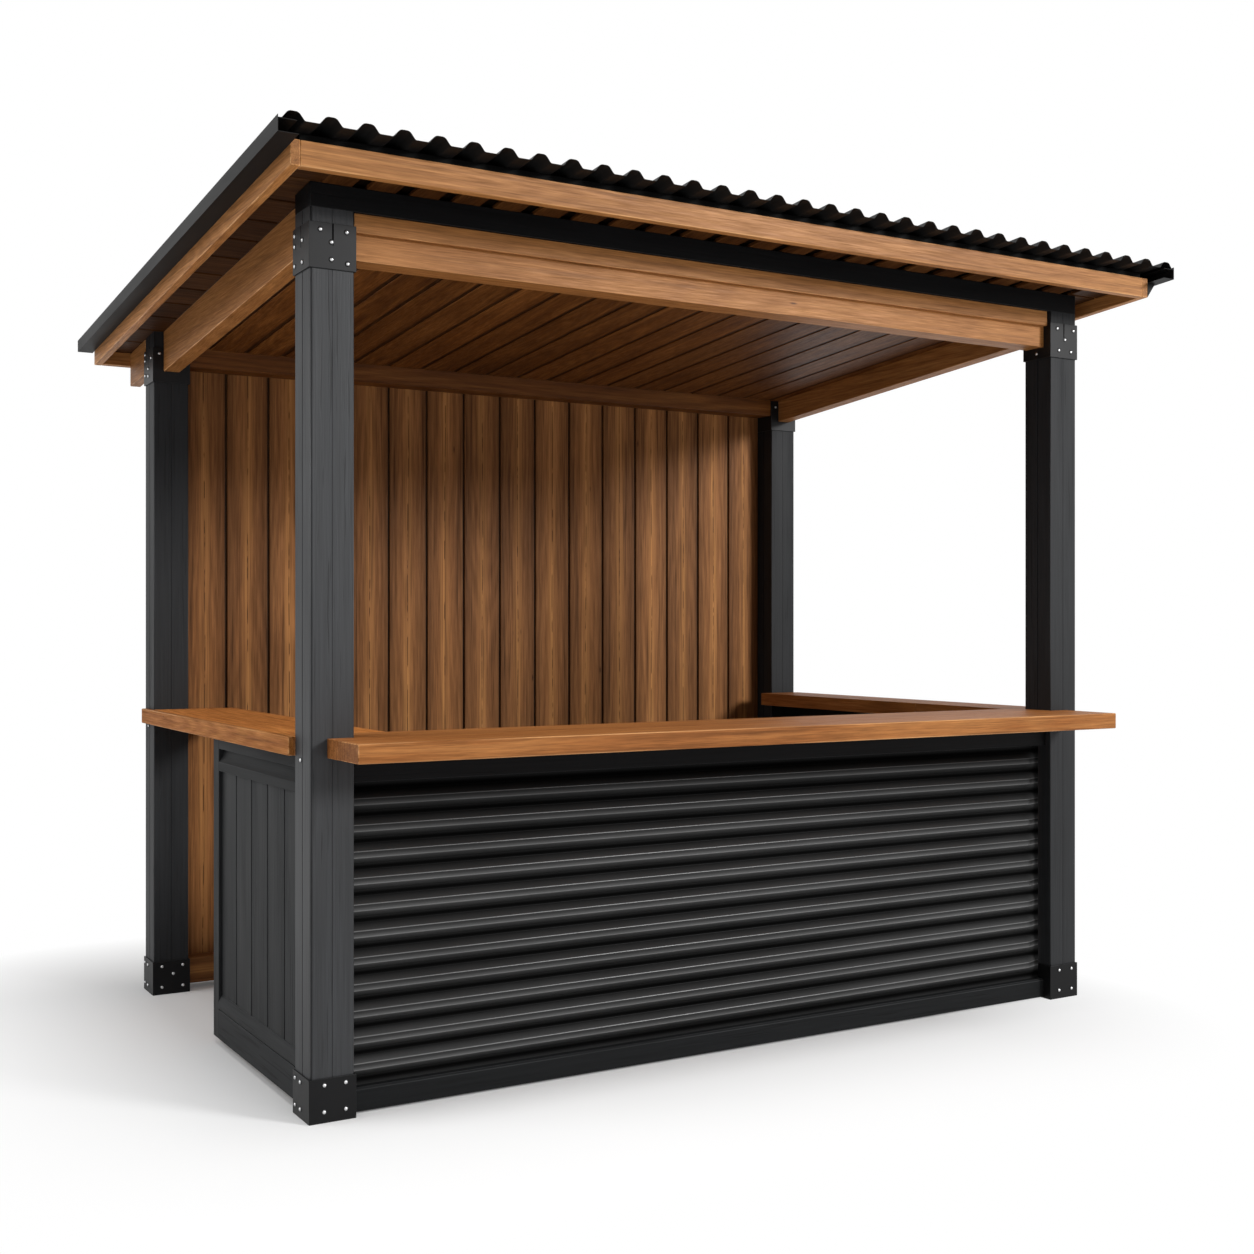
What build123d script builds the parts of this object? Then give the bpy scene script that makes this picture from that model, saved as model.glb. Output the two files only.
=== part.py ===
from build123d import *
import os
from math import radians, tan

os.makedirs("parts", exist_ok=True)

# Plan and posts, in millimetres
stall_width = 3000.0
stall_depth = 1900.0
post_size = 130.0
post_chamfer = 3.0
groove_width = 5.0
groove_depth = 4.0

# Steel shoes and sleeve brackets
sleeve_wall = 5.0
shoe_height = 125.0
shoe_base = 5.0
bracket_height = 130.0
front_bracket_drop = 42.0
rear_bracket_drop = 61.0
slit_width = 4.0
slit_depth = 62.0

# Roof: the soffit height is the underside of the deck over the front face of the posts
soffit_height = 2644.0
roof_pitch = 4.3
deck_thickness = 20.0
front_eave = 228.0
rear_eave = 280.0
side_eave = 133.0
fascia_thickness = 28.0
fascia_drop = 50.0
ceiling_gap = 34.0
ceiling_thickness = 20.0

# Roof covering
sheet_front_reach = 300.0
sheet_rear_reach = 310.0
verge_reach = 190.0
batten_width = 40.0
batten_height = 20.0
batten_count = 8
batten_inset = 10.0
sheet_thickness = 0.8
roof_rib_pitch = 103.0
roof_rib_height = 22.0
roof_rib_crest = 28.0
roof_rib_flank = 17.0
roof_rib_bend = 8.0
trim_thickness = 1.2
trim_below = 36.0
trim_above = 8.0
trim_flange = 52.0
fit_gap = 0.3

# Beams
plate_depth = 70.0
upper_beam_depth = 54.0
upper_beam_recess = 12.0
lower_beam_depth = 77.0
lower_beam_recess = 30.0
front_beam_back = 120.0
side_beam_depth = 150.0
side_beam_width = 60.0
side_beam_inset = 35.0
tail_depth = 130.0
tail_width = 40.0
rear_header_depth = 124.0

# Back wall
wall_thickness = 25.0
wall_clearance = 20.0
wall_rail_height = 100.0
wall_rail_thickness = 60.0

# Counters
counter_height = 1080.0
counter_thickness = 55.0
counter_front_reach = 243.0
counter_front_inner = 184.0
counter_end_inset = 50.0
counter_side_reach = 20.0
left_counter_width = 320.0
right_counter_width = 210.0
left_counter_tongue = 110.0
right_counter_seam = 685.0
seam_width = 1.0

# Front infill
front_rail_height = 76.0
front_rail_recess = 25.0
front_rail_thickness = 70.0
front_sheet_recess = 40.0
front_rib_pitch = 76.2
front_rib_depth = 20.0
front_rib_crest = 19.0
front_rib_flank = 20.0
front_rib_bend = 6.0
plinth_height = 68.0
plinth_recess = 30.0
plinth_thickness = 65.0
plinth_clearance = 5.0
plinth_chamfer = 6.0

# Side panels
panel_recess = 10.0
panel_thickness = 40.0
panel_clearance = 25.0
left_panel_length = 870.0
stile_width = 60.0
panel_board_recess = 12.0
panel_board_thickness = 22.0
panel_band_height = 36.0
panel_cove_height = 44.0
panel_cove_depth = 18.0
panel_cove_sag = 5.0
panel_fillet_height = 29.0
panel_plinth_height = 96.0
panel_vee = 4.0
panel_bead_height = 44.0
panel_bead_sag = 6.0

# How far a cutter runs past the face it cuts
overrun = 20.0

# Planes that the pieces share
roof_fall = tan(radians(roof_pitch))
post_front = (sheet_front_reach - sheet_rear_reach - stall_depth) / 2
front_post_back = post_front + post_size
post_back = post_front + stall_depth
rear_post_front = post_back - post_size
post_outer = stall_width / 2
post_inner = post_outer - post_size
bay_half = post_inner - sleeve_wall
bay_front = front_post_back + sleeve_wall
bay_back = rear_post_front - sleeve_wall
barge_outer = post_outer + side_eave
barge_inner = barge_outer - fascia_thickness
verge_outer = post_outer + verge_reach
fascia_front = post_front - front_eave
deck_front = fascia_front + fascia_thickness
fascia_back = post_back + rear_eave
deck_back = fascia_back - fascia_thickness
sheet_front = post_front - sheet_front_reach
sheet_back = post_back + sheet_rear_reach
sheet_seat = deck_thickness + batten_height
plate_base = soffit_height - plate_depth
counter_base = counter_height - counter_thickness
wall_face = post_back - wall_thickness
beam_outer = post_outer - side_beam_inset
beam_inner = beam_outer - side_beam_width


def roof_line(y):
    return soffit_height - roof_fall * (y - post_front)


def both(half):
    return (-half, half)


# A square-edged piece between three pairs of planes
def block(x, y, z):
    corner = Pos(x[0], y[0], z[0])
    return corner * Box(x[1] - x[0], y[1] - y[0], z[1] - z[0], align=(Align.MIN, Align.MIN, Align.MIN))


# A profile in Y and Z drawn out from one X to another
def along_x(outline, x):
    return Pos(x[0], 0, 0) * extrude(Plane.YZ * outline, amount=x[1] - x[0])


# A profile in X and Z drawn straight back from one Y to another
def along_y(outline, y):
    start = Plane(origin=(0, y[0], 0), x_dir=(1, 0, 0), z_dir=(0, -1, 0))
    return extrude(start * outline, amount=y[0] - y[1])


# A profile in X and Z, its height taken from the deck's underside, drawn back down the roof
def along_roof(outline, y):
    start = Plane(origin=(0, y[0], roof_line(y[0])), x_dir=(1, 0, 0), z_dir=(0, -1, 0))
    path = Vector(0, y[1] - y[0], roof_line(y[1]) - roof_line(y[0]))
    return extrude(start * outline, amount=path.length, dir=path)


# A piece with plumb ends whose lower and upper faces run with the roof
def raked(x, y, low, high):
    lower = [(end, roof_line(end) + low) for end in y]
    upper = [(end, roof_line(end) + high) for end in reversed(y)]
    return along_x(make_face(Polyline(*lower, *upper, close=True)), x)


# A piece with a level foot whose top is cut to the roof
def up_to_roof(x, y, base):
    upper = [(end, roof_line(end)) for end in reversed(y)]
    return along_x(make_face(Polyline((y[0], base), (y[1], base), *upper, close=True)), x)


def mirrored(piece):
    return mirror(piece, about=Plane.YZ)


# Posts: chamfered square section with a groove down the middle of each face
post_section = chamfer(Rectangle(post_size, post_size).vertices(), post_chamfer)
face_groove = Pos(post_size / 2, 0) * Rectangle(groove_depth * 2, groove_width)
for quarter_turn in range(4):
    post_section -= Rot(0, 0, quarter_turn * 90) * face_groove
post_x = post_outer - post_size / 2
front_post_y = post_front + post_size / 2
rear_post_y = post_back - post_size / 2
post_roof = raked(both(post_outer + overrun), (rear_post_front, post_back), 0, post_size)
front_post = Pos(post_x, front_post_y, shoe_base) * extrude(post_section, amount=plate_base - shoe_base)
rear_post_length = roof_line(rear_post_front) - shoe_base
rear_post = Pos(post_x, rear_post_y, shoe_base) * extrude(post_section, amount=rear_post_length)
rear_post -= post_roof

# Shoes: an open-topped steel cup that the post stands in
sleeve_size = post_size + sleeve_wall * 2
shoe_section = extrude(Rectangle(sleeve_size, sleeve_size), amount=shoe_height)
shoe_pocket = Pos(0, 0, shoe_base) * extrude(Rectangle(post_size, post_size), amount=shoe_height)
shoe = shoe_section - shoe_pocket
front_shoe = Pos(post_x, front_post_y, 0) * shoe
rear_shoe = Pos(post_x, rear_post_y, 0) * shoe

# Brackets: a square steel sleeve, slit from its upper edge in the middle of each face
sleeve_section = Rectangle(sleeve_size, sleeve_size) - Rectangle(post_size, post_size)
sleeve = extrude(sleeve_section, amount=bracket_height)
slit_length = sleeve_size + overrun
slit_plan = Rectangle(slit_width, slit_length) + Rectangle(slit_length, slit_width)
bracket = sleeve - Pos(0, 0, bracket_height - slit_depth) * extrude(slit_plan, amount=slit_depth + overrun)
front_bracket_base = plate_base - front_bracket_drop - bracket_height
rear_bracket_base = roof_line(rear_post_front) - rear_bracket_drop - bracket_height
front_bracket = Pos(post_x, front_post_y, front_bracket_base) * bracket
rear_bracket = Pos(post_x, rear_post_y, rear_bracket_base) * bracket

# Front beams: plate on the posts, two boards below it between the brackets
upper_beam_base = plate_base - upper_beam_depth
lower_beam_base = upper_beam_base - lower_beam_depth
beam_back = post_front + front_beam_back
front_plate = up_to_roof(both(post_outer), (post_front, front_post_back), plate_base)
front_upper_beam = block(
    both(bay_half), (post_front + upper_beam_recess, beam_back), (upper_beam_base, plate_base)
)
front_lower_beam = block(
    both(bay_half), (post_front + lower_beam_recess, beam_back), (lower_beam_base, upper_beam_base)
)

# Side beams, rafter tails and rear header
side_beam = raked((beam_inner, beam_outer), (bay_front, bay_back), -side_beam_depth, 0)
tail_front = post_back + sleeve_wall
rafter_tail = raked((post_outer - tail_width, post_outer), (tail_front, deck_back), -tail_depth, 0)
rear_header_base = roof_line(rear_post_front) - rear_header_depth
rear_header = up_to_roof(both(bay_half), (rear_post_front, wall_face), rear_header_base)

# Ceiling, deck and the boards that close its edges
ceiling_low = -ceiling_gap - ceiling_thickness
ceiling = raked(both(beam_inner), (front_post_back, rear_post_front), ceiling_low, -ceiling_gap)
roof_deck = raked(both(barge_inner), (deck_front, deck_back), 0, deck_thickness)
front_fascia = raked(both(barge_inner), (fascia_front, deck_front), -fascia_drop, deck_thickness)
rear_fascia = raked(both(barge_inner), (deck_back, fascia_back), -fascia_drop, deck_thickness)
barge_board = raked((barge_inner, barge_outer), (fascia_front, fascia_back), -fascia_drop, deck_thickness)

# Battens under the sheet, evenly spaced from the front edge of the deck to the rear
first_batten = fascia_front + batten_inset
batten_step = (fascia_back - batten_inset - batten_width - first_batten) / (batten_count - 1)
batten_starts = [first_batten + batten_step * number for number in range(batten_count)]
roof_battens = Compound(
    [
        raked(both(barge_inner), (start, start + batten_width), deck_thickness, sheet_seat).solid()
        for start in batten_starts
    ]
)


# A ribbed steel sheet in section, lying along its first axis, with as many whole ribs as fit its width
def ribbed_section(width, rib_height, pitch, crest, flank, bend):
    rib_foot = crest / 2 + flank
    rib_span = width - (rib_foot + bend) * 2
    last_rib = int(rib_span // pitch)
    corners = [(-width / 2, 0)]
    for number in range(last_rib + 1):
        centre = pitch * (number - last_rib / 2)
        corners += [(centre - rib_foot, 0), (centre - crest / 2, rib_height)]
        corners += [(centre + crest / 2, rib_height), (centre + rib_foot, 0)]
    corners += [(width / 2, 0)]
    lower_skin = FilletPolyline(*corners, radius=bend)
    upper_skin = Pos(0, sheet_thickness) * lower_skin
    ends = [Line(lower_skin @ end, upper_skin @ end) for end in range(2)]
    return make_face([lower_skin, upper_skin, *ends])


# Roof sheet: ribs from front to back, one thickness of steel
sheet_width = (verge_outer - trim_thickness - fit_gap) * 2
roof_section = ribbed_section(
    sheet_width, roof_rib_height, roof_rib_pitch, roof_rib_crest, roof_rib_flank, roof_rib_bend
)
roof_sheet = along_roof(Pos(0, sheet_seat) * roof_section, (sheet_front, sheet_back))

# Verge trim: a folded channel, upright outside, with a flange under the sheet and one to the barge board
trim_foot = sheet_seat - trim_below
trim_return = verge_outer - barge_outer
trim_corner = (Align.MAX, Align.MIN)
trim_upright = Rectangle(trim_thickness, trim_below + trim_above, align=trim_corner)
trim_upper = Rectangle(trim_flange, trim_thickness, align=(Align.MAX, Align.MAX))
trim_lower = Rectangle(trim_return, trim_thickness, align=trim_corner)
trim_section = Pos(verge_outer, trim_foot) * (trim_upright + trim_lower)
trim_section += Pos(verge_outer, sheet_seat) * trim_upper
verge_trim = along_roof(trim_section, (sheet_front, sheet_back))

# Back wall between the rear posts, with a rail along its foot
back_wall = up_to_roof(both(bay_half), (wall_face, post_back), wall_clearance)
wall_rail_top = wall_clearance + wall_rail_height
back_wall_rail = block(
    both(bay_half), (wall_face - wall_rail_thickness, wall_face), (wall_clearance, wall_rail_top)
)

# Counters: the front one is notched round the front posts, the side ones run from post to post
counter_z = (counter_base, counter_height)
front_counter_half = post_outer - counter_end_inset
counter_front = post_front - counter_front_reach
counter_inner = post_front + counter_front_inner
front_counter = block(both(front_counter_half), (counter_front, counter_inner), counter_z)
notch_x = (post_inner, front_counter_half + overrun)
post_notch = block(notch_x, (post_front, counter_inner + overrun), counter_z)
front_counter -= post_notch
front_counter -= mirrored(post_notch)

counter_outer = post_outer + counter_side_reach
left_counter_inner = left_counter_width - counter_outer
tongue_back = rear_post_front + left_counter_tongue
left_counter = block((-counter_outer, left_counter_inner), (front_post_back, tongue_back), counter_z)
left_counter -= block((-post_inner, left_counter_inner + overrun), (post_front, counter_inner), counter_z)
left_counter -= block((-post_outer, left_counter_inner + overrun), (rear_post_front, post_back), counter_z)

right_counter_inner = counter_outer - right_counter_width
right_counter = block((right_counter_inner, counter_outer), (front_post_back, rear_post_front), counter_z)
right_counter -= block((right_counter_inner - overrun, post_inner), (post_front, counter_inner), counter_z)
seam_y = post_front + right_counter_seam
seam_x = (right_counter_inner - overrun, counter_outer + overrun)
right_counter -= block(seam_x, (seam_y - seam_width / 2, seam_y + seam_width / 2), counter_z)

# Front infill: rail under the counter, sheet with level ribs, plinth between the shoes
rail_front = post_front + front_rail_recess
front_rail_base = counter_base - front_rail_height
front_top_rail = block(
    both(post_inner), (rail_front, rail_front + front_rail_thickness), (front_rail_base, counter_base)
)
plinth_front = post_front + plinth_recess
plinth_top = plinth_clearance + plinth_height
front_plinth = block(
    both(bay_half), (plinth_front, plinth_front + plinth_thickness), (plinth_clearance, plinth_top)
)
plinth_edge = front_plinth.edges().filter_by(Axis.X).group_by(Axis.Z)[-1].sort_by(Axis.Y)[0]
front_plinth = chamfer(plinth_edge, plinth_chamfer)

front_sheet_height = front_rail_base - plinth_top
front_section = ribbed_section(
    front_sheet_height, front_rib_depth, front_rib_pitch, front_rib_crest, front_rib_flank, front_rib_bend
)
trough_y = post_front + front_sheet_recess + front_rib_depth
front_sheet_middle = Pos(trough_y, plinth_top + front_sheet_height / 2) * Rot(0, 0, 90)
front_sheet = along_x(front_sheet_middle * front_section, both(bay_half))

# Side panels: moulded rails above and below upright boards
panel_outer = panel_recess - post_outer
panel_inner = panel_outer + panel_thickness
band_base = counter_base - panel_band_height
cove_base = band_base - panel_cove_height
board_top = cove_base - panel_fillet_height
cove_start = (panel_outer + panel_cove_depth, band_base)
cove_end = (panel_outer, cove_base)
top_rail_line = [
    Polyline(cove_end, (panel_outer, board_top), (panel_inner, board_top), (panel_inner, counter_base)),
    Polyline((panel_inner, counter_base), (panel_outer, counter_base), (panel_outer, band_base), cove_start),
    SagittaArc(cove_start, cove_end, panel_cove_sag),
]
top_rail_section = make_face(top_rail_line)

plinth_line = panel_clearance + panel_plinth_height
bead_base = plinth_line + panel_vee
board_base = bead_base + panel_bead_height
board_outer = panel_outer + panel_board_recess
bead_start = (panel_outer, bead_base)
bead_end = (board_outer, board_base)
rail_foot = (panel_outer, panel_clearance)
vee_bottom = (panel_outer + panel_vee, plinth_line)
bottom_rail_line = [
    Polyline(bead_end, (panel_inner, board_base), (panel_inner, panel_clearance), rail_foot),
    Polyline(rail_foot, (panel_outer, plinth_line), vee_bottom, bead_start),
    SagittaArc(bead_start, bead_end, panel_bead_sag),
]
bottom_rail_section = make_face(bottom_rail_line)

left_panel_end = front_post_back + left_panel_length
stile_front = left_panel_end - stile_width
panel_x = (panel_outer, panel_inner)
board_x = (board_outer, board_outer + panel_board_thickness)
board_z = (board_base, board_top)
left_panel_top_rail = along_y(top_rail_section, (front_post_back, stile_front))
left_panel_bottom_rail = along_y(bottom_rail_section, (bay_front, stile_front))
left_panel_boards = block(board_x, (front_post_back, stile_front), board_z)
left_panel_stile = block(panel_x, (stile_front, left_panel_end), (panel_clearance, counter_base))
right_panel_top_rail = mirrored(along_y(top_rail_section, (front_post_back, rear_post_front)))
right_panel_bottom_rail = mirrored(along_y(bottom_rail_section, (bay_front, bay_back)))
right_panel_boards = mirrored(block(board_x, (front_post_back, rear_post_front), board_z))

# One file for each named piece
pieces = {
    "front_left_post": mirrored(front_post),
    "front_right_post": front_post,
    "rear_left_post": mirrored(rear_post),
    "rear_right_post": rear_post,
    "front_left_shoe": mirrored(front_shoe),
    "front_right_shoe": front_shoe,
    "rear_left_shoe": mirrored(rear_shoe),
    "rear_right_shoe": rear_shoe,
    "front_left_bracket": mirrored(front_bracket),
    "front_right_bracket": front_bracket,
    "rear_left_bracket": mirrored(rear_bracket),
    "rear_right_bracket": rear_bracket,
    "front_plate": front_plate,
    "front_upper_beam": front_upper_beam,
    "front_lower_beam": front_lower_beam,
    "left_side_beam": mirrored(side_beam),
    "right_side_beam": side_beam,
    "left_rafter_tail": mirrored(rafter_tail),
    "right_rafter_tail": rafter_tail,
    "rear_header": rear_header,
    "ceiling_boards": ceiling,
    "roof_deck": roof_deck,
    "front_fascia": front_fascia,
    "rear_fascia": rear_fascia,
    "left_barge_board": mirrored(barge_board),
    "right_barge_board": barge_board,
    "roof_battens": roof_battens,
    "roof_sheet": roof_sheet,
    "left_verge_trim": mirrored(verge_trim),
    "right_verge_trim": verge_trim,
    "back_wall": back_wall,
    "back_wall_rail": back_wall_rail,
    "front_counter": front_counter,
    "left_counter": left_counter,
    "right_counter": right_counter,
    "front_top_rail": front_top_rail,
    "front_sheet": front_sheet,
    "front_plinth": front_plinth,
    "left_panel_top_rail": left_panel_top_rail,
    "left_panel_bottom_rail": left_panel_bottom_rail,
    "left_panel_boards": left_panel_boards,
    "left_panel_stile": left_panel_stile,
    "right_panel_top_rail": right_panel_top_rail,
    "right_panel_bottom_rail": right_panel_bottom_rail,
    "right_panel_boards": right_panel_boards,
}
for name, piece in pieces.items():
    export_step(piece, f"parts/{name}.step")
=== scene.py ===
import math
import random

import bmesh
import bpy
import numpy as np
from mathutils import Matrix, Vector


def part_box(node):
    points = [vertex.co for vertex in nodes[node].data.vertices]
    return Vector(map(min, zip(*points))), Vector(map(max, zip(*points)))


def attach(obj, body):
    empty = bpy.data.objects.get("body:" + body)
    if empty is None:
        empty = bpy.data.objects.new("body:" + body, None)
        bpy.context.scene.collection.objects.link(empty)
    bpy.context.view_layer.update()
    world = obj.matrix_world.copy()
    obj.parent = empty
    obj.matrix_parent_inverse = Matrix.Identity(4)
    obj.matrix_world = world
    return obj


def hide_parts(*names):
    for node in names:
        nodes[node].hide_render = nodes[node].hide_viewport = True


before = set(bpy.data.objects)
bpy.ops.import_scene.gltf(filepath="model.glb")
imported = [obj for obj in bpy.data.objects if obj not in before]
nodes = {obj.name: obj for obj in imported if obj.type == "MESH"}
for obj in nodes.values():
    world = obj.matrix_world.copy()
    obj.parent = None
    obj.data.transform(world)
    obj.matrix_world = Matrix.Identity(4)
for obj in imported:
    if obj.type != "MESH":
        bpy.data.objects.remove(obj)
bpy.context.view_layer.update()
rng = random.Random(7)

MM = 0.001
FALL = math.tan(math.radians(4.3))
POST_FRONT = -0.955
SOFFIT = 2.644


def roof_line(y):
    return SOFFIT - FALL * (y - POST_FRONT)


def srgb(r, g, b):
    out = []
    for c in (r, g, b):
        c /= 255.0
        out.append(c / 12.92 if c <= 0.04045 else ((c + 0.055) / 1.055) ** 2.4)
    return (*out, 1.0)


# ---- materials


class Graph:
    def __init__(self, name):
        self.mat = bpy.data.materials.new(name)
        self.mat.use_nodes = True
        self.tree = self.mat.node_tree
        self.bsdf = self.tree.nodes["Principled BSDF"]

    def node(self, kind, **settings):
        n = self.tree.nodes.new(kind)
        for key, value in settings.items():
            setattr(n, key, value)
        return n

    def link(self, a, b):
        self.tree.links.new(a, b)

    def put(self, socket, value):
        if isinstance(value, bpy.types.NodeSocket):
            self.link(value, socket)
        else:
            socket.default_value = value

    def attr(self, name, vector=False):
        n = self.node("ShaderNodeAttribute", attribute_name=name)
        return n.outputs["Vector" if vector else "Fac"]

    def scaled(self, vector, factors):
        n = self.node("ShaderNodeVectorMath", operation="MULTIPLY")
        self.link(vector, n.inputs[0])
        n.inputs[1].default_value = factors
        return n.outputs[0]

    def noise(self, vector, detail=3.0, rough=0.55, distortion=0.0, scale=1.0):
        n = self.node("ShaderNodeTexNoise")
        self.link(vector, n.inputs["Vector"])
        n.inputs["Scale"].default_value = scale
        n.inputs["Detail"].default_value = detail
        n.inputs["Roughness"].default_value = rough
        n.inputs["Distortion"].default_value = distortion
        return n.outputs["Fac"]

    def math(self, op, a, b=None, c=None, clamp=False):
        n = self.node("ShaderNodeMath", operation=op, use_clamp=clamp)
        for i, v in enumerate((a, b, c)):
            if v is not None:
                self.put(n.inputs[i], v)
        return n.outputs[0]

    def fit(self, value, a, b, c, d, clamp=True):
        n = self.node("ShaderNodeMapRange", clamp=clamp)
        self.put(n.inputs["Value"], value)
        for key, v in zip(("From Min", "From Max", "To Min", "To Max"), (a, b, c, d)):
            n.inputs[key].default_value = v
        return n.outputs["Result"]

    def ramp(self, value, stops):
        n = self.node("ShaderNodeValToRGB")
        self.link(value, n.inputs["Fac"])
        el = n.color_ramp.elements
        el[0].position, el[0].color = stops[0]
        el[1].position, el[1].color = stops[-1]
        for pos, col in stops[1:-1]:
            e = el.new(pos)
            e.color = col
        return n.outputs["Color"]

    def mix(self, fac, a, b, blend="MIX"):
        n = self.node("ShaderNodeMix", data_type="RGBA", blend_type=blend)
        self.put(n.inputs["Factor"], fac)
        self.put(n.inputs[6], a)
        self.put(n.inputs[7], b)
        return n.outputs[2]

    def grey(self, value):
        n = self.node("ShaderNodeCombineColor")
        for i in range(3):
            self.link(value, n.inputs[i])
        return n.outputs["Color"]

    def bump(self, height, strength, distance):
        n = self.node("ShaderNodeBump")
        n.inputs["Strength"].default_value = strength
        n.inputs["Distance"].default_value = distance
        self.link(height, n.inputs["Height"])
        self.link(n.outputs["Normal"], self.bsdf.inputs["Normal"])


def wood(
    name, dark, mid, light, knot, rough=(0.42, 0.6), tone=0.3, knots=0.62, wear=0.25, ring=0.013,
    heart=None, shine=0.2, fine=(9, 240, 240), rubbed=None, pores=0.25, coarse=(0.9, 30, 30),
):
    """Sawn board: growth rings round a wandering heart, fibres, knots, and a tone for each board."""
    g = Graph(name)
    grain = g.attr("grain", vector=True)
    bands = g.noise(g.scaled(grain, coarse), detail=5, rough=0.62, distortion=0.15)
    broad = g.noise(g.scaled(grain, (0.7, 5, 5)), detail=2)
    fibre = g.noise(g.scaled(grain, fine), detail=3, rough=0.65)
    drift = g.fit(g.noise(g.scaled(grain, (0.8, 1.2, 1.2)), detail=2), 0.3, 0.7, -0.016, 0.016)
    depth = g.fit(g.noise(g.scaled(grain, (0.45, 0.7, 0.7)), detail=1), 0.3, 0.7, 0.0, 0.12)
    across = g.math("ADD", g.attr("mid"), drift)
    square = g.math("MULTIPLY_ADD", across, across, g.math("MULTIPLY", depth, depth))
    radius = g.math("SQRT", square)
    phase = g.math("MULTIPLY_ADD", radius, 2 * math.pi / ring, g.math("MULTIPLY", bands, 3.0))
    rings = g.math("MULTIPLY_ADD", g.math("SINE", phase), 0.5, 0.5)
    value = g.math("ADD", g.math("MULTIPLY", bands, 0.58), g.math("MULTIPLY", broad, 0.31))
    value = g.math("ADD", value, g.math("MULTIPLY", rings, 0.11))
    colour = g.ramp(value, [(0.3, dark), (0.5, mid), (0.7, light)])
    colour = g.mix(1.0, colour, g.grey(g.fit(fibre, 0.3, 0.7, 0.68, 1.21)), "MULTIPLY")
    pore = g.fit(g.noise(g.scaled(grain, (1.3, 62, 62)), detail=3, rough=0.6), 0.56, 0.68, 0.0, pores)
    colour = g.mix(pore, colour, knot)
    if heart:
        pith = g.math("ABSOLUTE", g.math("MULTIPLY_ADD", drift, 0.35, g.attr("mid")))
        near = g.fit(pith, 0.004, 0.026, 1.0, 0.0)
        streak = g.fit(g.noise(g.scaled(grain, (1.6, 110, 110)), detail=3), 0.4, 0.62, 0.12, 0.75)
        colour = g.mix(g.math("MULTIPLY", near, streak), colour, heart)
        dash = g.fit(g.noise(g.scaled(grain, (13, 2, 2)), detail=2), 0.46, 0.56, 0.0, 0.85)
        colour = g.mix(g.math("MULTIPLY", g.fit(pith, 0.0007, 0.0024, 1.0, 0.0), dash), colour, knot)
        rim = g.fit(g.math("ABSOLUTE", g.attr("mid")), 0.03, 0.082, 0.0, 0.42)
        colour = g.mix(rim, colour, knot)
    cells = g.node("ShaderNodeTexVoronoi")
    g.link(g.scaled(grain, (1.5, 6.5, 6.5)), cells.inputs["Vector"])
    cells.inputs["Scale"].default_value = 1.0
    pick = g.node("ShaderNodeSeparateColor")
    g.link(cells.outputs["Color"], pick.inputs["Color"])
    gate = g.math("GREATER_THAN", pick.outputs[0], knots)
    spot = g.math("MULTIPLY", g.fit(cells.outputs["Distance"], 0.02, 0.075, 1.0, 0.0), gate, clamp=True)
    colour = g.mix(g.math("MULTIPLY", spot, 0.8), colour, knot)
    pins = g.node("ShaderNodeTexVoronoi")
    g.link(g.scaled(grain, (5, 22, 22)), pins.inputs["Vector"])
    pins.inputs["Scale"].default_value = 1.0
    sort = g.node("ShaderNodeSeparateColor")
    g.link(pins.outputs["Color"], sort.inputs["Color"])
    few = g.math("GREATER_THAN", sort.outputs[0], 0.86)
    pin = g.math("MULTIPLY", g.fit(pins.outputs["Distance"], 0.03, 0.1, 0.8, 0.0), few)
    colour = g.mix(pin, colour, knot)
    shade = g.fit(g.attr("tone"), 0.0, 1.0, 1.0 - tone, 1.0 + tone, clamp=False)
    colour = g.mix(1.0, colour, g.grey(shade), "MULTIPLY")
    colour = g.mix(g.math("MULTIPLY", g.attr("ends"), 0.22), colour, knot)
    # the backing seen through the gaps between boards is darkened towards black: painted shade
    colour = g.mix(g.math("MULTIPLY", g.attr("gap_shade"), 0.9), colour, srgb(14, 7, 3))
    rub = g.math("MULTIPLY", g.attr("edge"), g.fit(bands, 0.4, 0.7, 0.0, wear))
    colour = g.mix(rub, colour, rubbed or light)
    g.link(colour, g.bsdf.inputs["Base Color"])
    g.link(g.fit(fibre, 0.3, 0.7, rough[1], rough[0]), g.bsdf.inputs["Roughness"])
    g.bsdf.inputs["Specular IOR Level"].default_value = shine
    height = g.math("ADD", g.math("MULTIPLY", fibre, 0.6), g.math("MULTIPLY", bands, 0.4))
    height = g.math("SUBTRACT", height, g.math("MULTIPLY", spot, 0.3))
    g.bump(height, 0.4, 0.0012)
    return g.mat


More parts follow.
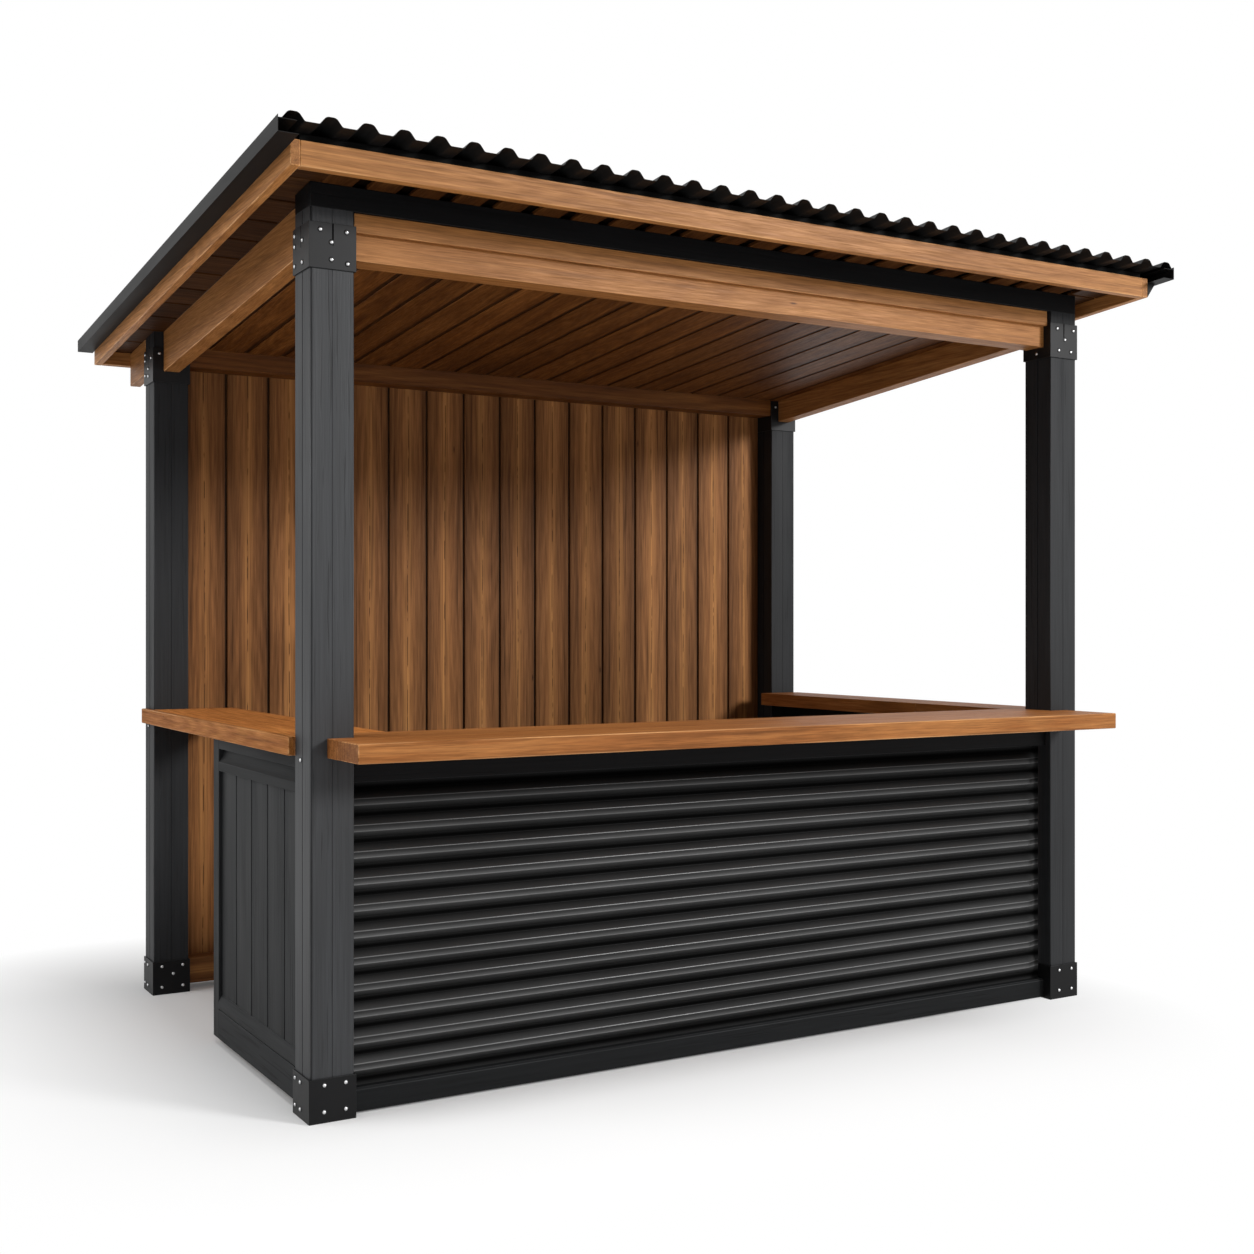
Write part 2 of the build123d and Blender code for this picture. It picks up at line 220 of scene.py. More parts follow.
def paint_on_wood(name, base, light, rough=(0.46, 0.6), wear=0.5, shine=0.33, split=0.6):
    """Opaque paint over sawn timber: the grain and fine checks still show."""
    g = Graph(name)
    grain = g.attr("grain", vector=True)
    fibre = g.noise(g.scaled(grain, (3.2, 120, 120)), detail=4, rough=0.6, distortion=0.3)
    patch = g.noise(g.scaled(grain, (1.1, 9, 9)), detail=3)
    check = g.fit(g.noise(g.scaled(grain, (3.4, 120, 120)), detail=2), split, split + 0.06, 0.0, 1.0)
    check = g.math("MULTIPLY", check, g.fit(patch, 0.44, 0.58, 0.0, 1.0))
    shade = g.math("ADD", g.fit(fibre, 0.3, 0.7, 0.76, 1.2), g.fit(patch, 0.3, 0.7, -0.16, 0.18))
    shade = g.math("MULTIPLY", shade, g.fit(g.attr("tone"), 0.0, 1.0, 0.88, 1.1, clamp=False))
    colour = g.mix(1.0, base, g.grey(shade), "MULTIPLY")
    colour = g.mix(g.math("MULTIPLY", check, 0.6), colour, srgb(12, 12, 12))
    # the backing seen through the gaps between boards is darkened towards black: painted shade
    colour = g.mix(g.math("MULTIPLY", g.attr("gap_shade"), 0.9), colour, srgb(8, 8, 8))
    rub = g.math("MULTIPLY", g.attr("edge"), g.fit(patch, 0.38, 0.66, 0.1, wear))
    colour = g.mix(rub, colour, light)
    g.link(colour, g.bsdf.inputs["Base Color"])
    g.link(g.fit(patch, 0.3, 0.7, rough[0], rough[1]), g.bsdf.inputs["Roughness"])
    g.bsdf.inputs["Specular IOR Level"].default_value = shine
    g.bump(g.math("SUBTRACT", fibre, g.math("MULTIPLY", check, 0.8)), 0.5, 0.0012)
    return g.mat


# place on a rib from trough to trough, grey, shine: painted shade lies under each rib and painted highlight
# lines run along its bends
RIB_SHADE_AND_HIGHLIGHT = (
    (0.0, 5, 0.01), (0.06, 12, 0.03), (0.115, 26, 0.06), (0.2, 44, 0.1), (0.34, 62, 0.12), (0.375, 104, 0.5),
    (0.41, 70, 0.4), (0.5, 46, 0.22), (0.585, 34, 0.15), (0.615, 82, 0.4), (0.65, 54, 0.2), (0.76, 44, 0.1),
    (0.84, 32, 0.05), (0.9, 14, 0.02), (0.95, 8, 0.01), (1.0, 5, 0.01),
)


def coated_metal(name, base, light, rough=(0.34, 0.48), streak=(3, 3, 3), wear=0.35, ribs=None, shine=0.2):
    """Coated sheet or plate: dust, specks and rubbed edges.

    On ribs, given as (first, pitch, top), a table sets the tone and the gloss across each rib: painted shade
    under each rib, painted highlights on its bends, and painted shadow close under the counter.
    """
    g = Graph(name)
    g.bsdf.inputs["Specular IOR Level"].default_value = shine
    place = g.node("ShaderNodeTexCoord").outputs["Object"]
    dust = g.noise(g.scaled(place, streak), detail=5, rough=0.6)
    speck = g.noise(place, detail=2, scale=220.0)
    shade = g.math("ADD", g.fit(dust, 0.3, 0.7, 0.85, 1.16), g.fit(speck, 0.3, 0.7, -0.05, 0.05))
    if ribs:
        first, pitch, top = ribs
        height = g.node("ShaderNodeSeparateXYZ")
        g.link(place, height.inputs[0])
        turn = g.math("DIVIDE", g.math("SUBTRACT", height.outputs["Z"], first - pitch / 2), pitch)
        turn = g.math("FRACT", turn)
        # painted shadow of the counter darkens the ribs close under it, in colour and gloss
        counter_shadow = g.fit(height.outputs["Z"], top - 0.27, top - 0.04, 1.0, 0.42)
        shade = g.math("MULTIPLY", shade, counter_shadow)
        base = g.ramp(turn, [(at, srgb(v, v, v)) for at, v, _ in RIB_SHADE_AND_HIGHLIGHT])
        gloss = g.ramp(turn, [(at, (v, v, v, 1)) for at, _, v in RIB_SHADE_AND_HIGHLIGHT])
        g.link(g.math("MULTIPLY", gloss, counter_shadow), g.bsdf.inputs["Specular IOR Level"])
    colour = g.mix(1.0, base, g.grey(shade), "MULTIPLY")
    rub = g.math("MULTIPLY", g.attr("edge"), g.fit(dust, 0.38, 0.66, 0.1, wear))
    colour = g.mix(rub, colour, light)
    g.link(colour, g.bsdf.inputs["Base Color"])
    g.link(g.fit(dust, 0.3, 0.7, rough[0], rough[1]), g.bsdf.inputs["Roughness"])
    g.bump(speck, 0.08, 0.0004)
    return g.mat


def bright_steel(name):
    """Zinc-plated bolt heads with fine marks."""
    g = Graph(name)
    place = g.node("ShaderNodeTexCoord").outputs["Object"]
    mark = g.noise(place, detail=3, scale=260.0)
    colour = g.ramp(mark, [(0.3, srgb(176, 178, 180)), (0.7, srgb(232, 232, 232))])
    g.link(colour, g.bsdf.inputs["Base Color"])
    g.link(g.fit(mark, 0.3, 0.7, 0.24, 0.4), g.bsdf.inputs["Roughness"])
    g.bsdf.inputs["Metallic"].default_value = 0.85
    return g.mat


FRONT_PITCH = 0.0762
FRONT_FIRST_RIB = 0.130
FRONT_TOP = 0.949
SAWN = {"tone": 0.06, "wear": 0.8}
BEAM_GRAIN = (2.2, 85, 85)
COUNTER_GRAIN = (1.5, 55, 55)
MATERIAL = {
    "stained_wood": wood(
        "oiled_wood", srgb(140, 90, 45), srgb(163, 109, 59), srgb(183, 127, 73), srgb(62, 33, 13),
        rubbed=srgb(224, 172, 120), coarse=BEAM_GRAIN, **SAWN,
    ),
    "wall_wood": wood(
        "wall_boards", srgb(120, 77, 42), srgb(148, 98, 57), srgb(170, 116, 70), srgb(42, 21, 8),
        tone=0.1, knots=0.86, ring=0.017, heart=srgb(204, 144, 84), shine=0.1, fine=(7, 190, 190), pores=0.5,
        coarse=(2.0, 52, 52),
    ),
    "ceiling_wood": wood(
        "ceiling_boards", srgb(78, 41, 13), srgb(108, 63, 23), srgb(136, 86, 40), srgb(40, 21, 9),
        tone=0.14, knots=0.75,
    ),
    "painted_timber": paint_on_wood("anthracite_paint", srgb(42, 43, 45), srgb(82, 83, 84)),
    "black_steel": coated_metal("black_coat", srgb(24, 24, 25), srgb(66, 66, 66)),
    "roof_metal": coated_metal(
        "roof_coat", srgb(24, 24, 24), srgb(50, 50, 50), (0.46, 0.6), (6, 1.2, 6), shine=0.13
    ),
    "front_metal": coated_metal(
        "front_coat", None, srgb(76, 77, 77), (0.28, 0.4), (1.2, 6, 6),
        ribs=(FRONT_FIRST_RIB, FRONT_PITCH, FRONT_TOP),
    ),
}
COUNTER_WOOD = wood(
    "counter_wood", srgb(128, 75, 35), srgb(158, 99, 51), srgb(184, 123, 69), srgb(60, 31, 12),
    rubbed=srgb(224, 172, 120), pores=0.36, shine=0.1, coarse=COUNTER_GRAIN, **SAWN,
)
MATT_COUNTER = wood(
    "matt_counter_wood", srgb(128, 75, 35), srgb(158, 99, 50), srgb(184, 123, 67), srgb(60, 31, 12),
    rubbed=srgb(224, 172, 120), pores=0.36, shine=0.03, coarse=COUNTER_GRAIN, **SAWN,
)
# a lighter copy of the oiled wood for the barge boards: painted light
LIT_BARGE_WOOD = wood(
    "barge_wood_painted_light", srgb(152, 98, 50), srgb(177, 119, 65), srgb(198, 138, 80), srgb(62, 33, 13),
    rubbed=srgb(230, 180, 128), coarse=BEAM_GRAIN, **SAWN,
)
DECK_WOOD = wood(
    "deck_boards", srgb(46, 23, 7), srgb(64, 36, 13), srgb(82, 51, 23), srgb(24, 12, 5),
    tone=0.14, knots=0.75, shine=0.1,
)
# a darker, duller copy of the anthracite paint for the front right and rear posts: painted shade
SHADED_POST_PAINT = paint_on_wood("anthracite_painted_shade", srgb(40, 41, 43), srgb(80, 81, 82), (0.5, 0.64), shine=0.2)
# a near-black copy of the anthracite paint for the front plate and top rail: painted shade under the eave and
# the counter
SHADED_BLACK_PAINT = paint_on_wood("black_painted_shade", srgb(14, 14, 15), srgb(40, 40, 40), shine=0.09)
# near-black paint for the roof battens: painted shade between the sheet and the fascia
BATTEN_SHADE_PAINT = paint_on_wood("batten_painted_shade", srgb(9, 9, 9), srgb(22, 22, 22), shine=0.04)
# a darker copy of the anthracite paint for the panel top rails and the plinth: painted shade
SHADED_RAIL_PAINT = paint_on_wood("rail_painted_shade", srgb(22, 23, 24), srgb(70, 71, 72), (0.55, 0.7), shine=0.1)
# a darker copy of the anthracite paint for the side panels: painted shade below the counters
SHADED_PANEL_PAINT = paint_on_wood(
    "panel_painted_shade", srgb(36, 37, 38), srgb(74, 75, 76), (0.55, 0.7), shine=0.14, split=0.55
)
SHOE_COAT = coated_metal("shoe_coat", srgb(17, 17, 18), srgb(58, 58, 58), shine=0.15)
BOLT = bright_steel("bright_bolts")


# ---- mesh building

AXIS = {"x": 0, "y": 1, "z": 2}
EASE = {"segments": 2, "profile": 0.5, "affect": "EDGES"}


class Piece:
    """Gathers bevelled islands, each with its own grain direction and tone."""

    def __init__(self, name, slot, stands_for=(), material=None):
        self.name, self.slot, self.stands_for = name, slot, stands_for
        self.material = material or MATERIAL[slot]
        self.verts, self.faces, self.smooth = [], [], []
        self.grain, self.mid, self.tone, self.edge, self.ends, self.gap_shade = [], [], [], [], [], []

    def add(self, bm, axis, edge_faces=(), tone=None, smooth_all=False, gap_shade=False):
        bm.normal_update()
        bm.verts.index_update()
        start = len(self.verts)
        turn = {"x": (0, 1, 2), "y": (1, 0, 2), "z": (2, 0, 1)}[axis]
        shift = [rng.uniform(-40, 40) for _ in range(3)]
        tone = rng.random() if tone is None else tone
        reach = [(min(v.co[k] for v in bm.verts), max(v.co[k] for v in bm.verts)) for k in turn[1:]]
        wide = max((0, 1), key=lambda k: reach[k][1] - reach[k][0])
        middle = sum(reach[wide]) / 2
        for v in bm.verts:
            self.verts.append(tuple(v.co))
            self.grain.append([v.co[turn[i]] + shift[i] for i in range(3)])
            self.mid.append(v.co[turn[1 + wide]] - middle)
            self.tone.append(tone)
            self.gap_shade.append(float(gap_shade))
        edge_set = set(edge_faces)
        for f in bm.faces:
            self.faces.append([start + v.index for v in f.verts])
            on_edge = f in edge_set
            self.edge.append(1.0 if on_edge else 0.0)
            self.ends.append(1.0 if abs(f.normal[AXIS[axis]]) > 0.8 and not on_edge else 0.0)
            self.smooth.append(on_edge or smooth_all)
        bm.free()

    def hexa(self, x, y, low, high, axis, bevel, tone=None, gap_shade=False):
        """A six-sided piece: low and high are heights, or functions of y."""
        lo = low if callable(low) else lambda _: low
        hi = high if callable(high) else lambda _: high
        bm = bmesh.new()
        vs = {}
        for i in range(2):
            for j in range(2):
                vs[i, j, 0] = bm.verts.new((x[i], y[j], lo(y[j])))
                vs[i, j, 1] = bm.verts.new((x[i], y[j], hi(y[j])))
        for a in (
            ((0, 0, 0), (0, 1, 0), (1, 1, 0), (1, 0, 0)), ((0, 0, 1), (1, 0, 1), (1, 1, 1), (0, 1, 1)),
            ((0, 0, 0), (1, 0, 0), (1, 0, 1), (0, 0, 1)), ((0, 1, 0), (0, 1, 1), (1, 1, 1), (1, 1, 0)),
            ((0, 0, 0), (0, 0, 1), (0, 1, 1), (0, 1, 0)), ((1, 0, 0), (1, 1, 0), (1, 1, 1), (1, 0, 1)),
        ):
            bm.faces.new([vs[k] for k in a])
        flags = ()
        if bevel:
            flags = bmesh.ops.bevel(bm, geom=bm.edges[:], offset=bevel, **EASE)["faces"]
        self.add(bm, axis, flags, tone, gap_shade=gap_shade)

    def from_cad(self, node, axis, bevel, tone=None, angle=25.0):
        """The CAD solid itself, with its sharp edges eased."""
        bm = bmesh.new()
        bm.from_mesh(nodes[node].data)
        bmesh.ops.remove_doubles(bm, verts=bm.verts[:], dist=1e-5)
        bmesh.ops.dissolve_limit(bm, angle_limit=math.radians(0.5), verts=bm.verts[:], edges=bm.edges[:])
        flags = ()
        if bevel:
            least = math.radians(angle)
            sharp = [e for e in bm.edges if len(e.link_faces) == 2 and e.calc_face_angle(0) > least]
            flags = bmesh.ops.bevel(bm, geom=sharp, offset=bevel, clamp_overlap=True, **EASE)["faces"]
        self.add(bm, axis, flags, tone)

    def lathe(self, centre, normal, outline, sides=16):
        """A small turned part: outline is (radius, height) from the rim to the tip."""
        bm = bmesh.new()
        up = Vector(normal).normalized()
        u = up.orthogonal().normalized()
        w = up.cross(u)
        rings = []
        for r, h in outline:
            if r == 0:
                rings.append([bm.verts.new(Vector(centre) + up * h)])
                continue
            ring = []
            for k in range(sides):
                t = 2 * math.pi * k / sides
                out = u * (r * math.cos(t)) + w * (r * math.sin(t))
                ring.append(bm.verts.new(Vector(centre) + out + up * h))
            rings.append(ring)
        for a, b in zip(rings, rings[1:]):
            for k in range(sides):
                n = (k + 1) % sides
                if len(b) == 1:
                    bm.faces.new((a[k], a[n], b[0]))
                else:
                    bm.faces.new((a[k], a[n], b[n], b[k]))
        bm.faces.new(list(reversed(rings[0])))
        self.add(bm, "z", (), 0.5, smooth_all=True)

    def build(self):
        me = bpy.data.meshes.new(self.name)
        me.from_pydata(self.verts, [], self.faces)
        me.polygons.foreach_set("use_smooth", self.smooth)
        for key, kind, dom, data in (
            ("grain", "FLOAT_VECTOR", "POINT", self.grain), ("tone", "FLOAT", "POINT", self.tone),
            ("mid", "FLOAT", "POINT", self.mid), ("gap_shade", "FLOAT", "POINT", self.gap_shade),
            ("edge", "FLOAT", "FACE", self.edge), ("ends", "FLOAT", "FACE", self.ends),
        ):
            at = me.attributes.new(key, kind, dom)
            flat = np.asarray(data, dtype=np.float32).ravel()
            at.data.foreach_set("vector" if kind == "FLOAT_VECTOR" else "value", flat)
        me.materials.append(self.material)
        me.update()
        ob = bpy.data.objects.new(self.name, me)
        bpy.context.scene.collection.objects.link(ob)
        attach(ob, "root")
        if self.stands_for:
            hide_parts(*self.stands_for)
        return ob


def dressed(node, slot, axis, bevel, material=None, **more):
    """A CAD node in its finish, with its edges eased."""
    p = Piece("look_" + node, slot, (node,), material)
    p.from_cad(node, axis, bevel, **more)
    return p.build()


def offset_line(d):
    return lambda y: roof_line(y) + d


def span(node):
    lo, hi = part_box(node)
    return list(zip(lo, hi))


def steps(lo, hi, count):
    w = (hi - lo) / count
    return [(lo + w * i, lo + w * (i + 1)) for i in range(count)]


# ---- posts, plate and steel

HAIR = (0.0, 1.4, 3.0)
GROOVE = (0.0, 4.0, 3.5)
CORNER = (-60.0, 3.0, 2.5)


def post(node, tone, front_grooves, material=None):
    """Painted post: eased corners and fine grooves; each groove is (across, width, depth) in mm."""
    (x, y, z) = span(node)
    mid = (sum(x) / 2, sum(y) / 2)
    half, ease = (x[1] - x[0]) / 2, 3 * MM
    line, corners = [], []
    for k, grooves in enumerate(((GROOVE,), (HAIR,), (GROOVE,), front_grooves)):
        along = [(-half + ease, half)]
        for at, width, depth in grooves:
            a, b = (at - width / 2) * MM, (at + width / 2) * MM
            along += [(a, half), (a, half - depth * MM), (b, half - depth * MM), (b, half)]
        along += [(half - ease, half), (half - ease * 0.3, half - ease * 0.3)]
        c, s = math.cos(k * math.pi / 2), math.sin(k * math.pi / 2)
        line += [(mid[0] + out * c - across * s, mid[1] + out * s + across * c) for across, out in along]
        corners += [len(line) - 2, len(line) - 1]
    top = (lambda _: z[1]) if node.startswith("front") else roof_line
    bm = bmesh.new()
    low = [bm.verts.new((u, v, z[0])) for u, v in line]
    high = [bm.verts.new((u, v, top(v))) for u, v in line]
    n = len(line)
    sides = [bm.faces.new((low[i], low[(i + 1) % n], high[(i + 1) % n], high[i])) for i in range(n)]
    bm.faces.new(list(reversed(low)))
    bm.faces.new(high)
    piece = Piece("look_" + node, "painted_timber", (node,), material)
    piece.add(bm, "z", [sides[i] for i in corners], tone)
    piece.build()


# the tones make the front left post lighter and the other posts darker: painted light and shade
post("front_left_post", 0.8, (CORNER, HAIR))
post("front_right_post", -0.4, (HAIR,), SHADED_POST_PAINT)
post("rear_left_post", -0.8, (HAIR,), SHADED_POST_PAINT)
post("rear_right_post", -1.0, (HAIR,), SHADED_POST_PAINT)
for side in ("left", "right"):
    for end in ("front", "rear"):
        dressed(f"{end}_{side}_shoe", "black_steel", "z", 1.0 * MM, SHOE_COAT)
        dressed(f"{end}_{side}_bracket", "black_steel", "z", 1.0 * MM)
# front plate and top rail in the near-black copy of the paint: painted shade
dressed("front_plate", "painted_timber", "x", 2 * MM, SHADED_BLACK_PAINT)
dressed("front_top_rail", "painted_timber", "x", 2 * MM, SHADED_BLACK_PAINT)
# plinth in the darker copy of the paint: painted shade
dressed("front_plinth", "painted_timber", "x", 1.5 * MM, SHADED_RAIL_PAINT)
# roof battens in near-black paint: painted shade
battens = Piece("look_roof_battens", "painted_timber", ("roof_battens",), BATTEN_SHADE_PAINT)
battens.from_cad("roof_battens", "x", 1.0 * MM)
battens.build()

# ---- plain timbers

for node, axis, ease, material in (
    ("front_upper_beam", "x", 1.0, None), ("front_lower_beam", "x", 1.0, None),
    ("left_side_beam", "y", 2.5, None), ("right_side_beam", "y", 2.5, None),
    ("left_rafter_tail", "y", 2.5, None), ("right_rafter_tail", "y", 2.5, None),
    ("front_fascia", "x", 2.5, None), ("rear_fascia", "x", 2.5, None),
    ("left_barge_board", "y", 2.5, LIT_BARGE_WOOD), ("right_barge_board", "y", 2.5, LIT_BARGE_WOOD),
):
    dressed(node, "stained_wood", axis, ease * MM, material)
dressed("rear_header", "stained_wood", "x", 2.5 * MM, MATERIAL["ceiling_wood"])
dressed("back_wall_rail", "wall_wood", "x", 2 * MM)

# ---- counters, each glued up from planks

(cx, cy, cz) = span("front_counter")
front = Piece("look_front_counter", "stained_wood", ("front_counter",), COUNTER_WOOD)
inner_x, outer_x = 1.370, 1.5
second, fourth = POST_FRONT - 0.085, POST_FRONT + 0.092
between = (-inner_x, inner_x)
front.hexa(cx, (cy[0], second), *cz, "x", 3 * MM, tone=-0.8)
front.hexa(cx, (second, POST_FRONT), *cz, "x", 1.2 * MM, tone=0.0)
front.hexa(between, (POST_FRONT, fourth), *cz, "x", 1.2 * MM, tone=-0.6)
front.hexa(between, (fourth, cy[1]), *cz, "x", 2 * MM, tone=0.3)
front.build()

(cx, cy, cz) = span("left_counter")
fy = span("front_counter")[1]
rear_post = span("rear_left_post")[1][0]
left = Piece("look_left_counter", "stained_wood", ("left_counter",), MATT_COUNTER)
# the top planks' tones of 5.0 and 5.5 make them much lighter than the same wood elsewhere: painted light
left.hexa((cx[0], -outer_x), cy, *cz, "y", 3 * MM, tone=1.0)
left.hexa((-outer_x, -inner_x), (cy[0], rear_post), *cz, "y", 0.6 * MM, tone=5.0)
left.hexa((-inner_x, cx[1]), (fy[1], rear_post), *cz, "y", 2 * MM, tone=5.5)
left.build()

(cx, cy, cz) = span("right_counter")
right = Piece("look_right_counter", "stained_wood", ("right_counter",), COUNTER_WOOD)
seam = POST_FRONT + 0.685
before, after = seam - 0.0005, seam + 0.0005
for x, y in (
    ((cx[0], inner_x), (fy[1], before)), ((inner_x, cx[1]), (cy[0], before)),
    ((cx[0], inner_x), (after, cy[1])), ((inner_x, cx[1]), (after, cy[1])),
):
    right.hexa(x, y, *cz, "y", 1.5 * MM)
right.build()

# ---- boards: back wall, ceiling, deck, side panels

(wx, wy, wz) = span("back_wall")
wall = Piece("look_back_wall", "wall_wood", ("back_wall",))
wall_boards = steps(wx[0], wx[1], 16)
gap = 5 * MM
for a, b in wall_boards:
    a += gap if a > wx[0] + 1e-4 else 0
    b -= gap if b < wx[1] - 1e-4 else 0
    wall.hexa((a, b), wy, wz[0], roof_line, "z", 2.5 * MM)
strip_y = (wy[0] + 9 * MM, wy[1] - 7 * MM)
strip_z = (wz[0] + 2 * MM, offset_line(-2 * MM))
# near-black strips behind the board joints: painted shade in the gaps
for a, b in wall_boards[1:]:
    wall.hexa((a - 8 * MM, a + 8 * MM), strip_y, *strip_z, "z", 0, gap_shade=True)
for s in (-1, 1):
    tongue = sorted((s * (wx[1] - 3 * MM), s * (wx[1] + 4.8 * MM)))
    wall.hexa(tongue, strip_y, *strip_z, "z", 0, gap_shade=True)
wall.build()

(bx, by, _) = span("ceiling_boards")
ceiling = Piece("look_ceiling_boards", "ceiling_wood", ("ceiling_boards",))
gap = 10 * MM
board_width, middle_seam = 147.2 * MM, 27 * MM
seams = [bx[0]] + [middle_seam + board_width * k for k in range(-9, 10)] + [bx[1]]
face, groove, back = -0.054, -0.0505, -0.034
for a, b in zip(seams, seams[1:]):
    a += gap if a > bx[0] + 1e-4 else 0
    b -= gap if b < bx[1] - 1e-4 else 0
    ceiling.hexa((a, b), by, offset_line(face), offset_line(groove), "y", 1.2 * MM)
# near-black backing behind the board gaps: painted shade
ceiling.hexa(bx, by, offset_line(groove), offset_line(back), "y", 0, gap_shade=0.8)
ceiling.build()

(dx, dy, _) = span("roof_deck")
deck = Piece("look_roof_deck", "ceiling_wood", ("roof_deck",), DECK_WOOD)
edge_x = 1.465
slat_top, deck_top = offset_line(12 * MM), offset_line(20 * MM)
gap = 44 * MM
for a, b in steps(-edge_x, edge_x, 22):
    deck.hexa((a, b - gap), dy, roof_line, slat_top, "y", 2.5 * MM, tone=2.0 + rng.random())
gap = 12 * MM
for s in (-1, 1):
    xs = sorted((s * edge_x, s * dx[1]))
    for a, b in steps(dy[0], dy[1], 12):
        deck.hexa(xs, (a + gap / 2, b - gap / 2), roof_line, slat_top, "x", 2.5 * MM)
# near-black layer behind the slat gaps: painted shade
deck.hexa(dx, dy, slat_top, deck_top, "y", 0, gap_shade=True)
deck.build()

# side panels in the darker copy of the paint: painted shade below the counters
for side, count in (("left", 5), ("right", 10)):
    (px, py, pz) = span(f"{side}_panel_boards")
    panel = Piece(f"look_{side}_panel_boards", "painted_timber", (f"{side}_panel_boards",), SHADED_PANEL_PAINT)
    boards = steps(py[0], py[1], count)
    for a, b in boards:
        a += 4 * MM if a > py[0] + 1e-4 else 0
        b -= 4 * MM if b < py[1] - 1e-4 else 0
        panel.hexa(px, (a, b), *pz, "z", 1.5 * MM)
    strip_x = (px[0] + 6 * MM, px[1] - 6 * MM)
    # near-black strips behind the board joints: painted shade in the gaps
    for a, b in boards[1:]:
        panel.hexa(strip_x, (a - 6 * MM, a + 6 * MM), pz[0] + 1 * MM, pz[1] - 1 * MM, "z", 0, gap_shade=True)
    panel.build()
    # top rails in the darker copy of the paint: painted shade under the counter
    dressed(f"{side}_panel_top_rail", "painted_timber", "y", 1.2 * MM, SHADED_RAIL_PAINT, angle=40.0)
    dressed(f"{side}_panel_bottom_rail", "painted_timber", "y", 1.2 * MM, SHADED_PANEL_PAINT, angle=40.0)
dressed("left_panel_stile", "painted_timber", "z", 2 * MM, SHADED_PANEL_PAINT)


# ---- ribbed sheets, bent on a true radius


BEND_STEPS = 6
SHEET = 0.8 * MM


def ribbed(width, height, pitch, crest, flank, bend, crest_bend):
    """Section of a ribbed sheet, centred, with each corner rounded to its bend."""
    foot = crest / 2 + flank
    last = int((width - (foot + bend) * 2) // pitch)
    pts = [(-width / 2, 0.0)]
    for i in range(last + 1):
        c = pitch * (i - last / 2)
        pts += [(c - foot, 0.0), (c - crest / 2, height), (c + crest / 2, height), (c + foot, 0.0)]
    pts.append((width / 2, 0.0))
    line = [Vector(pts[0])]
    for a, b, c in zip(pts, pts[1:], pts[2:]):
        a, b, c = Vector(a), Vector(b), Vector(c)
        round_off = crest_bend if b.y > 0 else bend
        p, q = (a - b).normalized(), (c - b).normalized()
        half = p.angle(q) / 2
        reach = round_off / math.tan(half)
        centre = b + (p + q).normalized() * (round_off / math.sin(half))
        s, e = b + p * reach - centre, b + q * reach - centre
        sweep = s.angle_signed(e)
        for k in range(BEND_STEPS + 1):
            t = -sweep * k / BEND_STEPS
            cos, sin = math.cos(t), math.sin(t)
            line.append(centre + Vector((s.x * cos - s.y * sin, s.x * sin + s.y * cos)))
    line.append(Vector(pts[-1]))
    return line


def sheet_piece(node, slot, place, line, stations, axis):
    """Draws a section through its stations, each (distance, rib depth).

    place(point, distance) gives each corner.
    """
    bm = bmesh.new()
    rows = []
    for at, depth in stations:
        flat = [Vector((p.x, p.y * depth)) for p in line]
        under = [bm.verts.new(place(p, at)) for p in flat]
        over = [bm.verts.new(place(p + Vector((0, SHEET)), at)) for p in flat]
        rows.append((under, over))
    last = len(line) - 1
    for (u0, o0), (u1, o1) in zip(rows, rows[1:]):
        for i in range(last):
            bm.faces.new((u0[i], u1[i], u1[i + 1], u0[i + 1]))
            bm.faces.new((o0[i], o0[i + 1], o1[i + 1], o1[i]))
        bm.faces.new((u0[0], o0[0], o1[0], u1[0]))
        bm.faces.new((u0[last], u1[last], o1[last], o0[last]))
    for under, over in (rows[0], rows[-1]):
        for i in range(last):
            bm.faces.new((under[i], under[i + 1], over[i + 1], over[i]))
    bmesh.ops.recalc_face_normals(bm, faces=bm.faces[:])
    p = Piece("look_" + node, slot, (node,))
    p.add(bm, axis, (), 0.5, smooth_all=True)
    p.build().data.set_sharp_from_angle(angle=math.radians(35))


ROOF_PITCH = 103 * MM
ROOF_RIB = 22 * MM
ROOF_SEAT = 40 * MM
(sx, sy, _) = span("roof_sheet")
roof_section = ribbed(sx[1] - sx[0], ROOF_RIB, ROOF_PITCH, 28 * MM, 17 * MM, 8 * MM, 17 * MM)
sheet_piece(
    "roof_sheet", "roof_metal", lambda p, y: (p.x, y, roof_line(y) + ROOF_SEAT + p.y), roof_section,
    [(y, 1) for y in sy], "y",
)
FRONT_RIB = 20 * MM
RIB_END = 75 * MM
(fx, front_y, fz) = span("front_sheet")
front_section = ribbed(fz[1] - fz[0], FRONT_RIB, FRONT_PITCH, 19 * MM, 20 * MM, 6 * MM, 6 * MM)
middle = (fz[0] + fz[1]) / 2
# the ribs close smoothly towards the right post
closing = [k / 10 for k in range(11)]
stations = [(fx[0], 1)] + [(fx[1] - t * RIB_END, t * t * (3 - 2 * t)) for t in reversed(closing)]
sheet_piece(
    "front_sheet", "front_metal", lambda p, x: (x, front_y[0] + FRONT_RIB - p.y, middle + p.x), front_section,
    stations, "x",
)
for side in ("left", "right"):
    dressed(f"{side}_verge_trim", "roof_metal", "y", 0)

# ---- end cap that closes the right verge at the front

